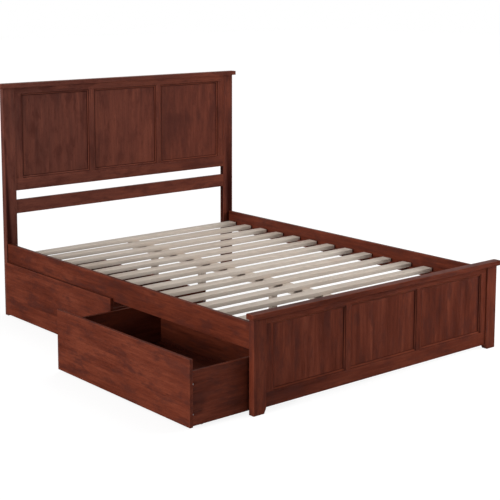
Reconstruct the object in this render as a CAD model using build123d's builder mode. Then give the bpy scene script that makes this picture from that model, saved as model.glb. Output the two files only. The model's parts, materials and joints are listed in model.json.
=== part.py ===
"""Queen-size platform bed: frame-and-panel boards, slatted deck and two rolling drawers.

Millimetres, +Z up. The origin is on the floor under the middle of the deck.
The head end is +Y, the drawers slide out towards -X.
"""
from build123d import *
import math
import os

# Deck: clear space between the boards and between the side rails
deck_length = 2045.0
deck_width = 1528.0
deck_height = 340.0

# Heights of the two boards, to the top of their caps
headboard_height = 1269.0
footboard_height = 443.0

# Posts, standing proud of the side rails by the reveal
post_width = 70.0
post_depth = 32.0
post_reveal = 8.0
post_foot_height = 25.0
post_foot_taper = 12.0
eased_edge = 2.0

# Side rails
rail_thickness = 19.0
rail_height = 115.0
rail_above_deck = 58.0

# Cap boards on top of the posts
cap_thickness = 24.0
cap_front_overhang = 14.0
cap_end_overhang = 16.0
cap_edge_radius = 3.0

# Frame and panel work, shared by both boards
frame_thickness = 22.0
stile_width = 50.0
mullion_width = 50.0
quirk = 1.5
bevel_width = 8.5
bevel_depth = 5.5
groove_depth = 9.0
panel_thickness = 6.0
panel_clearance = 0.2
tenon_length = 25.0
tenon_thickness = 10.0
tenon_shoulder = 12.0
tenon_clearance = 0.3

# Headboard rails
head_setback = 2.0
head_top_rail = 43.0
head_bottom_rail = 74.0
head_panel_height = 443.0
head_slot = 52.0
head_lower_rail = 74.0

# Footboard rails
foot_setback = 6.0
foot_top_rail = 39.0
foot_bottom_rail = 74.0
foot_panel_height = 282.0

# Hook plates that hang the side rails on the posts
hook_plate_width = 12.0
hook_plate_height = 90.0
hook_plate_thickness = 3.0
hook_thickness = 4.0
hook_height = 14.0
hook_drop = 8.0
hook_lip = 4.0
hook_spacing = 42.0
hook_clearance = 0.5

# Slats, their ledgers and the centre support
slat_count = 14
slat_width = 60.0
slat_thickness = 19.0
slat_edge = 1.0
slat_end_gap = 9.0
slat_head_margin = 22.0
slat_foot_margin = 67.6
ledger_width = 24.0
ledger_height = 30.0
ledger_end_gap = 45.0
beam_width = 50.0
beam_height = 39.0
beam_end_gap = 40.0
leg_width = 36.0
leg_depth = 28.0
leg_inner_offset = 293.0
leg_outer_offset = 728.0

# Drawers
drawer_face_height = 288.0
drawer_face_thickness = 18.5
drawer_face_gap = 5.0
drawer_face_edge = 2.5
drawer_running_gap = 0.6
drawer_floor_gap = 12.0
drawer_pulled_out = 298.6
box_depth = 571.5
box_wall = 15.0
box_wall_height = 233.0
box_inset = 12.0
box_edge = 2.5
bottom_thickness = 9.0
bottom_groove = 6.0
bottom_height = 36.0
bottom_clearance = 0.2

# Wood screws that hold the drawer walls together
screw_head_radius = 4.0
screw_head_angle = 90.0
screw_shank_radius = 2.0
screw_length = 38.0
screw_clearance = 0.05
screw_edge_low = 49.0
screw_edge_high = 55.0

# Castors under the drawers
wheel_radius = 15.0
wheel_width = 16.0
wheel_edge = 1.5
wheel_rim = 3.0
wheel_recess = 4.0
wheel_hub_radius = 6.0
wheel_end_inset = 70.0
wheel_side_inset = 28.5
axle_radius = 3.0
axle_clearance = 0.05
axle_head_radius = 4.5
axle_head_thickness = 1.5
bracket_plate = 2.0
bracket_length = 34.0
bracket_flange = 12.0
bracket_gap = 0.5
bracket_tip_radius = 7.0

# Places that follow from the sizes above
rail_inner_x = deck_width / 2
rail_outer_x = rail_inner_x + rail_thickness
post_outer_x = rail_outer_x + post_reveal
post_inner_x = post_outer_x - post_width
deck_end_y = deck_length / 2
head_post_front = deck_end_y
foot_post_front = -deck_end_y - post_depth
rail_top = deck_height + rail_above_deck
rail_bottom = rail_top - rail_height
slat_bottom = deck_height - slat_thickness
slat_pitch = (deck_length - slat_head_margin - slat_foot_margin - slat_width) / (slat_count - 1)
support_mid_y = (slat_foot_margin - slat_head_margin) / 2
groove_width = panel_thickness + 2 * panel_clearance
panel_width = (2 * (post_inner_x - stile_width - mullion_width)) / 3
mullion_x = (panel_width + mullion_width) / 2
panel_x = panel_width + mullion_width
rail_mid = (rail_inner_x + rail_outer_x) / 2
rail_mid_z = (rail_bottom + rail_top) / 2
hook_reach = hook_plate_thickness + hook_clearance + hook_lip
hook_seats = [
    rail_mid_z + offset - hook_height / 2
    for offset in (-hook_spacing / 2, hook_spacing / 2)
]
sides = {"left": -1, "right": 1}

os.makedirs("parts", exist_ok=True)


def save(part, name):
    """Label a finished piece and write it as its own file."""
    part.label = name
    export_step(part, f"parts/{name}.step")


def moulding(face, edge, inward):
    """The corner taken off a frame edge: a small step at the face, then a bevel down to the panel."""
    return [
        (face, edge),
        (face, edge + inward * bevel_width),
        (face + quirk, edge + inward * bevel_width),
        (face + quirk + bevel_depth, edge),
    ]


def board_rail(y_front, z_low, height, grooved_edge):
    """A rail across a board, tenoned at both ends, grooved and moulded on one edge or on none."""
    y_mid = y_front + frame_thickness / 2
    z_mid = z_low + height / 2
    inward = {"bottom": 1, "top": -1, "none": 0}[grooved_edge]
    with BuildPart() as rail:
        with BuildSketch(Plane.YZ) as profile:
            with Locations((y_mid, z_mid)):
                Rectangle(frame_thickness, height)
            if inward:
                edge_z = z_mid - inward * height / 2
                with BuildLine():
                    Polyline(*moulding(y_front, edge_z, inward), close=True)
                make_face(mode=Mode.SUBTRACT)
                with Locations((y_mid, edge_z + inward * groove_depth / 2)):
                    Rectangle(groove_width, groove_depth, mode=Mode.SUBTRACT)
            else:
                fillet(profile.vertices(), eased_edge)
        extrude(amount=post_inner_x, both=True)
        with BuildSketch(Plane.YZ.offset(post_inner_x)):
            with Locations((y_mid, z_mid)):
                Rectangle(tenon_thickness, height - 2 * tenon_shoulder)
        extrude(amount=tenon_length)
        with BuildSketch(Plane.YZ.offset(-post_inner_x)):
            with Locations((y_mid, z_mid)):
                Rectangle(tenon_thickness, height - 2 * tenon_shoulder)
        extrude(amount=-tenon_length)
    return rail.part


def board_upright(y_front, z_low, z_high, x_mid, width, grooved_sides):
    """A stile or mullion, coped over the rails' mouldings, with stub tenons in their grooves."""
    y_mid = y_front + frame_thickness / 2
    y_back = y_front + frame_thickness
    z_mid = (z_low + z_high) / 2
    lower_cope = moulding(y_front, z_low, -1)[1:]
    upper_cope = moulding(y_front, z_high, 1)[1:]
    with BuildPart() as upright:
        with BuildSketch(Plane.YZ.offset(x_mid - width / 2)):
            with BuildLine():
                Polyline(*lower_cope, (y_back, z_low), (y_back, z_high), *reversed(upper_cope), close=True)
            make_face()
            with Locations((y_mid, z_mid)):
                Rectangle(panel_thickness, z_high - z_low + 2 * (groove_depth - panel_clearance))
        extrude(amount=width)
        for side in grooved_sides:
            edge_x = x_mid + side * width / 2
            with BuildSketch(Plane.XY.offset(z_low - groove_depth)):
                with Locations((edge_x - side * groove_depth / 2, y_mid)):
                    Rectangle(groove_depth, groove_width)
                with BuildLine():
                    Polyline(*[(x, y) for y, x in moulding(y_front, edge_x, -side)], close=True)
                make_face()
            extrude(amount=z_high - z_low + 2 * groove_depth, mode=Mode.SUBTRACT)
    return upright.part


def board_panel(y_front, z_low, z_high, x_mid):
    """A flat panel that floats in the grooves of its frame."""
    reach = 2 * (groove_depth - panel_clearance)
    with BuildPart() as panel:
        with BuildSketch(Plane.XY.offset(z_low - reach / 2)):
            with Locations((x_mid, y_front + frame_thickness / 2)):
                Rectangle(panel_width + reach, panel_thickness)
        extrude(amount=z_high - z_low + reach)
    return panel.part


def board_cap(y_post_front, z_low):
    """A cap board with eased edges, flush with the backs of the posts."""
    depth = post_depth + cap_front_overhang
    with BuildPart() as cap:
        with BuildSketch(Plane.XY.offset(z_low)):
            with Locations((0, y_post_front - cap_front_overhang + depth / 2)):
                Rectangle(2 * (post_outer_x + cap_end_overhang), depth)
        extrude(amount=cap_thickness)
        fillet(cap.faces().filter_by(Axis.Z).edges(), cap_edge_radius)
    return cap.part


def board_post(side, y_front, height, rail_face_y, inward, tenon_spans, tapered_foot):
    """A post with mortises for the board's rails and a pocket for its rail hook plate."""
    x_mid = side * (post_inner_x + post_outer_x) / 2
    rail_mid_x = side * rail_mid
    with BuildPart() as post:
        with BuildSketch():
            with Locations((x_mid, y_front + post_depth / 2)):
                RectangleRounded(post_width, post_depth, eased_edge)
        extrude(amount=height)
        if tapered_foot:
            with BuildSketch(Plane.XZ.offset(-y_front - post_depth)):
                with BuildLine():
                    Polyline(
                        (side * post_inner_x, 0),
                        (side * (post_inner_x + post_foot_taper), 0),
                        (side * post_inner_x, post_foot_height),
                        close=True,
                    )
                make_face()
            extrude(amount=post_depth, mode=Mode.SUBTRACT)
        for frame_mid_y, z_low, z_high in tenon_spans:
            with BuildSketch(Plane.YZ.offset(side * post_inner_x)):
                with Locations((frame_mid_y, (z_low + z_high) / 2)):
                    Rectangle(
                        tenon_thickness + 2 * tenon_clearance,
                        z_high - z_low - 2 * tenon_shoulder + 2 * tenon_clearance,
                    )
            extrude(amount=side * (tenon_length + tenon_clearance), mode=Mode.SUBTRACT)
        with BuildSketch(Plane.XZ.offset(-rail_face_y)):
            with Locations((rail_mid_x, rail_mid_z)):
                Rectangle(hook_plate_width + hook_clearance, hook_plate_height + hook_clearance)
        extrude(amount=inward * hook_plate_thickness, mode=Mode.SUBTRACT)
        with BuildSketch(Plane.XZ.offset(-rail_face_y)):
            with Locations(*[(rail_mid_x, seat + hook_height / 2) for seat in hook_seats]):
                Rectangle(
                    hook_thickness + 2 * hook_clearance,
                    hook_height + 2 * (hook_drop + hook_clearance),
                )
        extrude(amount=inward * (hook_reach + hook_clearance), mode=Mode.SUBTRACT)
    return post.part


# Headboard: cap, top rail, panels, bottom rail, open slot and lower rail, from the top down
head_cap_z = headboard_height - cap_thickness
head_panel_top = head_cap_z - head_top_rail
head_panel_bottom = head_panel_top - head_panel_height
head_bottom_rail_z = head_panel_bottom - head_bottom_rail
head_lower_rail_z = head_bottom_rail_z - head_slot - head_lower_rail
head_frame_y = head_post_front + head_setback

# Footboard: cap, top rail, panels and bottom rail, from the top down
foot_cap_z = footboard_height - cap_thickness
foot_panel_top = foot_cap_z - foot_top_rail
foot_panel_bottom = foot_panel_top - foot_panel_height
foot_bottom_rail_z = foot_panel_bottom - foot_bottom_rail
foot_frame_y = foot_post_front + foot_setback

head_tenons = [
    (head_frame_y + frame_thickness / 2, head_panel_top, head_cap_z),
    (head_frame_y + frame_thickness / 2, head_bottom_rail_z, head_panel_bottom),
    (head_frame_y + frame_thickness / 2, head_lower_rail_z, head_lower_rail_z + head_lower_rail),
]
foot_tenons = [
    (foot_frame_y + frame_thickness / 2, foot_panel_top, foot_cap_z),
    (foot_frame_y + frame_thickness / 2, foot_bottom_rail_z, foot_panel_bottom),
]

for word, side in sides.items():
    save(
        board_post(side, head_post_front, head_cap_z, head_post_front, -1, head_tenons, False),
        f"head_post_{word}",
    )
    save(
        board_post(side, foot_post_front, foot_cap_z, -deck_end_y, 1, foot_tenons, True),
        f"foot_post_{word}",
    )

save(board_cap(head_post_front, head_cap_z), "headboard_cap")
save(board_rail(head_frame_y, head_panel_top, head_top_rail, "bottom"), "headboard_top_rail")
save(board_rail(head_frame_y, head_bottom_rail_z, head_bottom_rail, "top"), "headboard_bottom_rail")
save(board_rail(head_frame_y, head_lower_rail_z, head_lower_rail, "none"), "headboard_lower_rail")

save(board_cap(foot_post_front, foot_cap_z), "footboard_cap")
save(board_rail(foot_frame_y, foot_panel_top, foot_top_rail, "bottom"), "footboard_top_rail")
save(board_rail(foot_frame_y, foot_bottom_rail_z, foot_bottom_rail, "top"), "footboard_bottom_rail")

boards = {
    "headboard": (head_frame_y, head_panel_bottom, head_panel_top),
    "footboard": (foot_frame_y, foot_panel_bottom, foot_panel_top),
}
for board, (y_front, z_low, z_high) in boards.items():
    for word, side in sides.items():
        stile_mid_x = side * (post_inner_x - stile_width / 2)
        stile = board_upright(y_front, z_low, z_high, stile_mid_x, stile_width, (-side,))
        save(stile, f"{board}_stile_{word}")
        mullion = board_upright(y_front, z_low, z_high, side * mullion_x, mullion_width, (-1, 1))
        save(mullion, f"{board}_mullion_{word}")
    for word, x_mid in (("left", -panel_x), ("centre", 0), ("right", panel_x)):
        save(board_panel(y_front, z_low, z_high, x_mid), f"{board}_panel_{word}")


# Side rails, with a pocket for a hook plate in each end
for word, side in sides.items():
    with BuildPart() as side_rail:
        with BuildSketch(Plane.XZ):
            with Locations((side * rail_mid, rail_mid_z)):
                RectangleRounded(rail_thickness, rail_height, eased_edge)
        extrude(amount=deck_end_y, both=True)
        for end in (-1, 1):
            with BuildSketch(Plane.XZ.offset(end * deck_end_y)):
                with Locations((side * rail_mid, rail_mid_z)):
                    Rectangle(hook_plate_width + hook_clearance, hook_plate_height + hook_clearance)
            extrude(amount=-end * hook_plate_thickness, mode=Mode.SUBTRACT)
    save(side_rail.part, f"side_rail_{word}")

# Ledgers glued and screwed to the rails, carrying the ends of the slats
for word, side in sides.items():
    with BuildPart() as ledger:
        with BuildSketch(Plane.XZ):
            with Locations((side * (rail_inner_x - ledger_width / 2), slat_bottom - ledger_height / 2)):
                RectangleRounded(ledger_width, ledger_height, eased_edge)
        extrude(amount=deck_end_y - ledger_end_gap, both=True)
    save(ledger.part, f"slat_ledger_{word}")

# Hook plates in the ends of the rails: one is made, then mirrored to the other corners
with BuildPart() as hook_plates:
    with BuildSketch(Plane.XZ.offset(-deck_end_y)):
        with Locations((rail_mid, rail_mid_z)):
            Rectangle(hook_plate_width, hook_plate_height)
    extrude(amount=hook_plate_thickness)
    with BuildSketch(Plane.YZ.offset(rail_mid - hook_thickness / 2)):
        for seat in hook_seats:
            with BuildLine():
                Polyline(
                    (deck_end_y, seat),
                    (deck_end_y + hook_reach - hook_lip, seat),
                    (deck_end_y + hook_reach - hook_lip, seat - hook_drop),
                    (deck_end_y + hook_reach, seat - hook_drop),
                    (deck_end_y + hook_reach, seat + hook_height),
                    (deck_end_y, seat + hook_height),
                    close=True,
                )
            make_face()
    extrude(amount=hook_thickness)
    mirror(about=Plane.XZ)
    mirror(about=Plane.YZ)
save(hook_plates.part, "rail_hook_plates")

# Slotted plates let into the posts, which the hooks drop into
with BuildPart() as slot_plates:
    with BuildSketch(Plane.XZ.offset(-deck_end_y)):
        with Locations((rail_mid, rail_mid_z)):
            Rectangle(hook_plate_width, hook_plate_height)
        slot_height = hook_height + hook_drop + hook_clearance
        with Locations(*[(rail_mid, seat + slot_height / 2) for seat in hook_seats]):
            Rectangle(hook_thickness + hook_clearance, slot_height, mode=Mode.SUBTRACT)
    extrude(amount=-hook_plate_thickness)
    mirror(about=Plane.XZ)
    mirror(about=Plane.YZ)
save(slot_plates.part, "post_slot_plates")


# Slats, laid from the head end down on the ledgers and the centre beam
slat_length = deck_width - 2 * slat_end_gap
first_slat_y = deck_end_y - slat_head_margin - slat_width / 2
with BuildPart() as slats:
    with BuildSketch(Plane.YZ) as slat_ends:
        with Locations(*[(first_slat_y - i * slat_pitch, deck_height - slat_thickness / 2)
                         for i in range(slat_count)]):
            Rectangle(slat_width, slat_thickness)
        chamfer(slat_ends.vertices(), slat_edge)
    extrude(amount=slat_length / 2, both=True)
save(slats.part, "slats")

# Centre beam under the slats, and the legs that carry it
with BuildPart() as beam:
    with BuildSketch(Plane.XZ):
        with Locations((0, slat_bottom - beam_height / 2)):
            RectangleRounded(beam_width, beam_height, eased_edge)
    extrude(amount=deck_end_y - beam_end_gap, both=True)
save(beam.part, "centre_beam")

with BuildPart() as legs:
    with BuildSketch():
        with Locations(*[(0, support_mid_y + end * offset) for end in (-1, 1)
                         for offset in (leg_inner_offset, leg_outer_offset)]):
            RectangleRounded(leg_width, leg_depth, eased_edge)
    extrude(amount=slat_bottom - beam_height)
save(legs.part, "centre_legs")


# Drawers: sizes and places shared by both
face_length = (deck_length - 3 * drawer_face_gap) / 2
box_width = face_length - 2 * box_inset
box_inner_width = box_width - 2 * box_wall
closed_box_x = -(rail_outer_x + drawer_running_gap)
box_top = drawer_floor_gap + box_wall_height
bottom_slot = bottom_thickness + 2 * bottom_clearance
bottom_mid_z = bottom_height + bottom_thickness / 2
screw_heights = (drawer_floor_gap + screw_edge_low, box_top - screw_edge_high)
screw_head_height = (screw_head_radius - screw_shank_radius) / math.tan(math.radians(screw_head_angle / 2))
bracket_width = wheel_width + 2 * (bracket_gap + bracket_plate)
axle_length = bracket_width + 2 * axle_head_thickness
ends = {"foot": -1, "head": 1}


def screw_planes(box_x, y, end):
    """The planes of one side wall's screws at a given Y, facing away from the drawer."""
    return [
        Plane(origin=(x, y, z), x_dir=(1, 0, 0), z_dir=(0, end, 0))
        for x in (box_x + box_wall / 2, box_x + box_depth - box_wall / 2)
        for z in screw_heights
    ]


def castor_places(box_x, y_mid):
    """Where the castors stand, by the corner of the drawer that each one carries."""
    return {
        f"{depth_word}_{end_word}": (x, y_mid + end * (box_width / 2 - wheel_side_inset))
        for depth_word, x in (
            ("outer", box_x + wheel_end_inset),
            ("inner", box_x + box_depth - wheel_end_inset),
        )
        for end_word, end in ends.items()
    }


def drawer_face(box_x, y_mid):
    """The board that closes the drawer, overlapping the bottom of the side rail."""
    with BuildPart() as face:
        with BuildSketch(Plane.YZ.offset(box_x)):
            with Locations((y_mid, drawer_floor_gap + drawer_face_height / 2)):
                Rectangle(face_length, drawer_face_height)
        extrude(amount=-drawer_face_thickness)
        fillet(face.faces().sort_by(Axis.X)[0].edges(), drawer_face_edge)
        fillet(face.faces().sort_by(Axis.X)[-1].edges(), eased_edge)
    return face.part


def drawer_side(box_x, y_mid, end):
    """A side wall, grooved for the bottom and countersunk for the screws at its two ends."""
    outer_y = y_mid + end * box_width / 2
    with BuildPart() as wall:
        with BuildSketch(Plane.XZ.offset(-outer_y)):
            with Locations((box_x + box_depth / 2, drawer_floor_gap + box_wall_height / 2)):
                Rectangle(box_depth, box_wall_height)
        extrude(amount=end * box_wall)
        fillet(wall.faces().sort_by(Axis.Z)[-1].edges().filter_by(Axis.X), box_edge)
        with BuildSketch(Plane.XZ.offset(-outer_y + end * box_wall)):
            with Locations((box_x + box_depth / 2, bottom_mid_z)):
                Rectangle(box_depth, bottom_slot)
        extrude(amount=-end * bottom_groove, mode=Mode.SUBTRACT)
        with Locations(*screw_planes(box_x, outer_y, end)):
            CounterSinkHole(
                screw_shank_radius + screw_clearance,
                screw_head_radius + screw_clearance,
                depth=box_wall,
                counter_sink_angle=screw_head_angle,
            )
    return wall.part


def drawer_end_wall(wall_x, y_mid, inward):
    """A front or back wall held between the side walls, grooved for the bottom and piloted."""
    inner_x = wall_x + (box_wall if inward > 0 else 0)
    with BuildPart() as wall:
        with BuildSketch(Plane.YZ.offset(wall_x)):
            with Locations((y_mid, drawer_floor_gap + box_wall_height / 2)):
                Rectangle(box_inner_width, box_wall_height)
        extrude(amount=box_wall)
        fillet(wall.faces().sort_by(Axis.Z)[-1].edges().filter_by(Axis.Y), box_edge)
        with BuildSketch(Plane.YZ.offset(inner_x)):
            with Locations((y_mid, bottom_mid_z)):
                Rectangle(box_inner_width, bottom_slot)
        extrude(amount=-inward * bottom_groove, mode=Mode.SUBTRACT)
        for end in ends.values():
            end_y = y_mid + end * box_inner_width / 2
            with Locations(*[
                Plane(origin=(wall_x + box_wall / 2, end_y, z), x_dir=(1, 0, 0), z_dir=(0, end, 0))
                for z in screw_heights
            ]):
                Hole(screw_shank_radius + screw_clearance, screw_length - box_wall + screw_clearance)
    return wall.part


def drawer_bottom(box_x, y_mid):
    """The bottom panel, let into the grooves of all four walls."""
    reach = 2 * (bottom_groove - bottom_clearance)
    with BuildPart() as bottom:
        with BuildSketch(Plane.XY.offset(bottom_height)):
            with Locations((box_x + box_depth / 2, y_mid)):
                Rectangle(box_depth - 2 * box_wall + reach, box_inner_width + reach)
        extrude(amount=bottom_thickness)
    return bottom.part


def drawer_screws(box_x, y_mid):
    """The countersunk screws through both side walls."""
    with BuildPart() as screws:
        for end in ends.values():
            with Locations(*screw_planes(box_x, y_mid + end * box_width / 2, end)):
                Cylinder(
                    screw_shank_radius,
                    screw_length,
                    align=(Align.CENTER, Align.CENTER, Align.MAX),
                )
                Cone(
                    screw_shank_radius,
                    screw_head_radius,
                    screw_head_height,
                    align=(Align.CENTER, Align.CENTER, Align.MAX),
                )
    return screws.part


def castor_brackets(places):
    """Pressed steel brackets under the bottom: a plate longer than its two cheeks, one on each side."""
    with BuildPart() as brackets:
        with BuildSketch(Plane.XY.offset(bottom_height - bracket_plate)):
            with Locations(*places):
                Rectangle(bracket_length + 2 * bracket_flange, bracket_width)
        extrude(amount=bracket_plate)
        for x, y in places:
            for end in ends.values():
                cheek_y = y + end * bracket_width / 2
                with BuildSketch(Plane.XZ.offset(-cheek_y)):
                    with Locations((x, wheel_radius)):
                        Circle(bracket_tip_radius)
                    with Locations((x, bottom_height - bracket_plate)):
                        Rectangle(bracket_length, bracket_plate, align=(Align.CENTER, Align.MAX))
                    make_hull()
                    with Locations((x, wheel_radius)):
                        Circle(axle_radius + axle_clearance, mode=Mode.SUBTRACT)
                extrude(amount=end * bracket_plate)
    return brackets.part


def castor_axles(places):
    """Headed steel pins that carry the wheels between the cheeks."""
    with BuildPart() as axles:
        for x, y in places:
            with BuildSketch(Plane.XZ.offset(-y)):
                with Locations((x, wheel_radius)):
                    Circle(axle_radius)
            extrude(amount=axle_length / 2, both=True)
            for end in ends.values():
                with BuildSketch(Plane.XZ.offset(-y - end * bracket_width / 2)):
                    with Locations((x, wheel_radius)):
                        Circle(axle_head_radius)
                extrude(amount=-end * axle_head_thickness)
    return axles.part


def castor_wheel(x, y):
    """A moulded wheel: hub, thin web and rim, turned about its axle."""
    bore = axle_radius + axle_clearance
    with BuildPart() as wheel:
        with BuildSketch(Plane.YZ.offset(x)) as section:
            with Locations((y, wheel_radius + bore)):
                Rectangle(wheel_width, wheel_radius - bore, align=(Align.CENTER, Align.MIN))
            chamfer(section.vertices().group_by(Axis.Y)[-1], wheel_edge)
            with Locations(*[(y + end * wheel_width / 2, wheel_radius + wheel_hub_radius)
                             for end in ends.values()]):
                Rectangle(
                    2 * wheel_recess,
                    wheel_radius - wheel_rim - wheel_hub_radius,
                    align=(Align.CENTER, Align.MIN),
                    mode=Mode.SUBTRACT,
                )
        revolve(axis=Axis((x, y, wheel_radius), (0, 1, 0)))
    return wheel.part


# The drawer at the foot end stands pulled out, the one at the head end is shut
drawers = {
    "front_drawer": (-(face_length + drawer_face_gap) / 2, drawer_pulled_out),
    "rear_drawer": ((face_length + drawer_face_gap) / 2, 0.0),
}
for drawer, (y_mid, pulled_out) in drawers.items():
    box_x = closed_box_x - pulled_out
    castors = castor_places(box_x, y_mid)
    save(drawer_face(box_x, y_mid), f"{drawer}_face")
    save(drawer_end_wall(box_x, y_mid, 1), f"{drawer}_front_wall")
    save(drawer_end_wall(box_x + box_depth - box_wall, y_mid, -1), f"{drawer}_back_wall")
    for end_word, end in ends.items():
        save(drawer_side(box_x, y_mid, end), f"{drawer}_side_{end_word}")
    save(drawer_bottom(box_x, y_mid), f"{drawer}_bottom")
    save(drawer_screws(box_x, y_mid), f"{drawer}_screws")
    save(castor_brackets(list(castors.values())), f"{drawer}_brackets")
    save(castor_axles(list(castors.values())), f"{drawer}_axles")
    for corner, (x, y) in castors.items():
        save(castor_wheel(x, y), f"{drawer}_wheel_{corner}")
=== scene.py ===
"""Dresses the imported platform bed: stained boards, pale slats, castors, screws and a plain studio."""

import json
import logging
import math
import random
from dataclasses import dataclass
from enum import Enum
from typing import Any, Iterable, Optional, Sequence

import bmesh
import bpy
from mathutils import Matrix, Vector


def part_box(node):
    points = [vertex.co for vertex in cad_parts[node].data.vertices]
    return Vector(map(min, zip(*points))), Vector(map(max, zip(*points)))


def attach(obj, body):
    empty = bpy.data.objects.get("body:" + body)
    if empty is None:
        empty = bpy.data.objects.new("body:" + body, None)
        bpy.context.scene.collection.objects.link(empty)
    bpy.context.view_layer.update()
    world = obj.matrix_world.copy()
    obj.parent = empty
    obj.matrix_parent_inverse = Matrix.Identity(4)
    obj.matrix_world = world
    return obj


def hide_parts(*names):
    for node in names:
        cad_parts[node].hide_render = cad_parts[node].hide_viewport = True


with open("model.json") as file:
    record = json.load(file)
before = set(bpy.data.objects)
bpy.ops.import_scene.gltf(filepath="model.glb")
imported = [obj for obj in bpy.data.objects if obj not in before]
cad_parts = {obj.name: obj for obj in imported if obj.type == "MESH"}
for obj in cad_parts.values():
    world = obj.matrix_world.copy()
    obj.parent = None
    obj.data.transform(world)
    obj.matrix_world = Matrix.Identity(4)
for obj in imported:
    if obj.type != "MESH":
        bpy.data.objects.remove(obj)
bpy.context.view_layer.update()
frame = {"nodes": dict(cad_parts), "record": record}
LOG = logging.getLogger("bed")
SEED = 20
SIDES = ("left", "right")
ARRIS = 0.0006
MERGE_REACH = 1e-5
SHARP_ANGLE = math.radians(32)

Colour = tuple[float, float, float, float]
Place = tuple[float, float, float]
Socket = bpy.types.NodeSocket
Node = bpy.types.Node
Tree = bpy.types.NodeTree
Mesh = bpy.types.Mesh
Material = bpy.types.Material
BMesh = bmesh.types.BMesh


class Grain(Enum):
    """Which way a board's fibres run: the bed's axes in the order of the board's own."""

    ACROSS = (0, 2, 1)
    LENGTHWISE = (1, 0, 2)
    UPRIGHT = (2, 0, 1)
    ACROSS_FLAT = (0, 1, 2)
    LENGTHWISE_FACE = (1, 2, 0)


class Layup(Enum):
    """How a board is glued up: the width of its staves in metres."""

    SINGLE = 4.0
    STAVES = 0.085
    NARROW_STAVES = 0.062


class TreeKind(Enum):
    """The kinds of node group that are built here."""

    SHADER = "ShaderNodeTree"
    GEOMETRY = "GeometryNodeTree"


class Kind(Enum):
    """The kinds of socket that the node groups have."""

    FLOAT = "NodeSocketFloat"
    VECTOR = "NodeSocketVector"
    WHOLE = "NodeSocketInt"
    GEOMETRY = "NodeSocketGeometry"
    OBJECT = "NodeSocketObject"
    MATERIAL = "NodeSocketMaterial"


@dataclass(frozen=True)
class Figure:
    """A noise in a surface: how fine it is along and across the fibres, and what span of it shows."""

    along: float
    across: float
    detail: float = 2.0
    rough: float = 0.5
    shown: Optional[tuple[float, float]] = None


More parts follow.
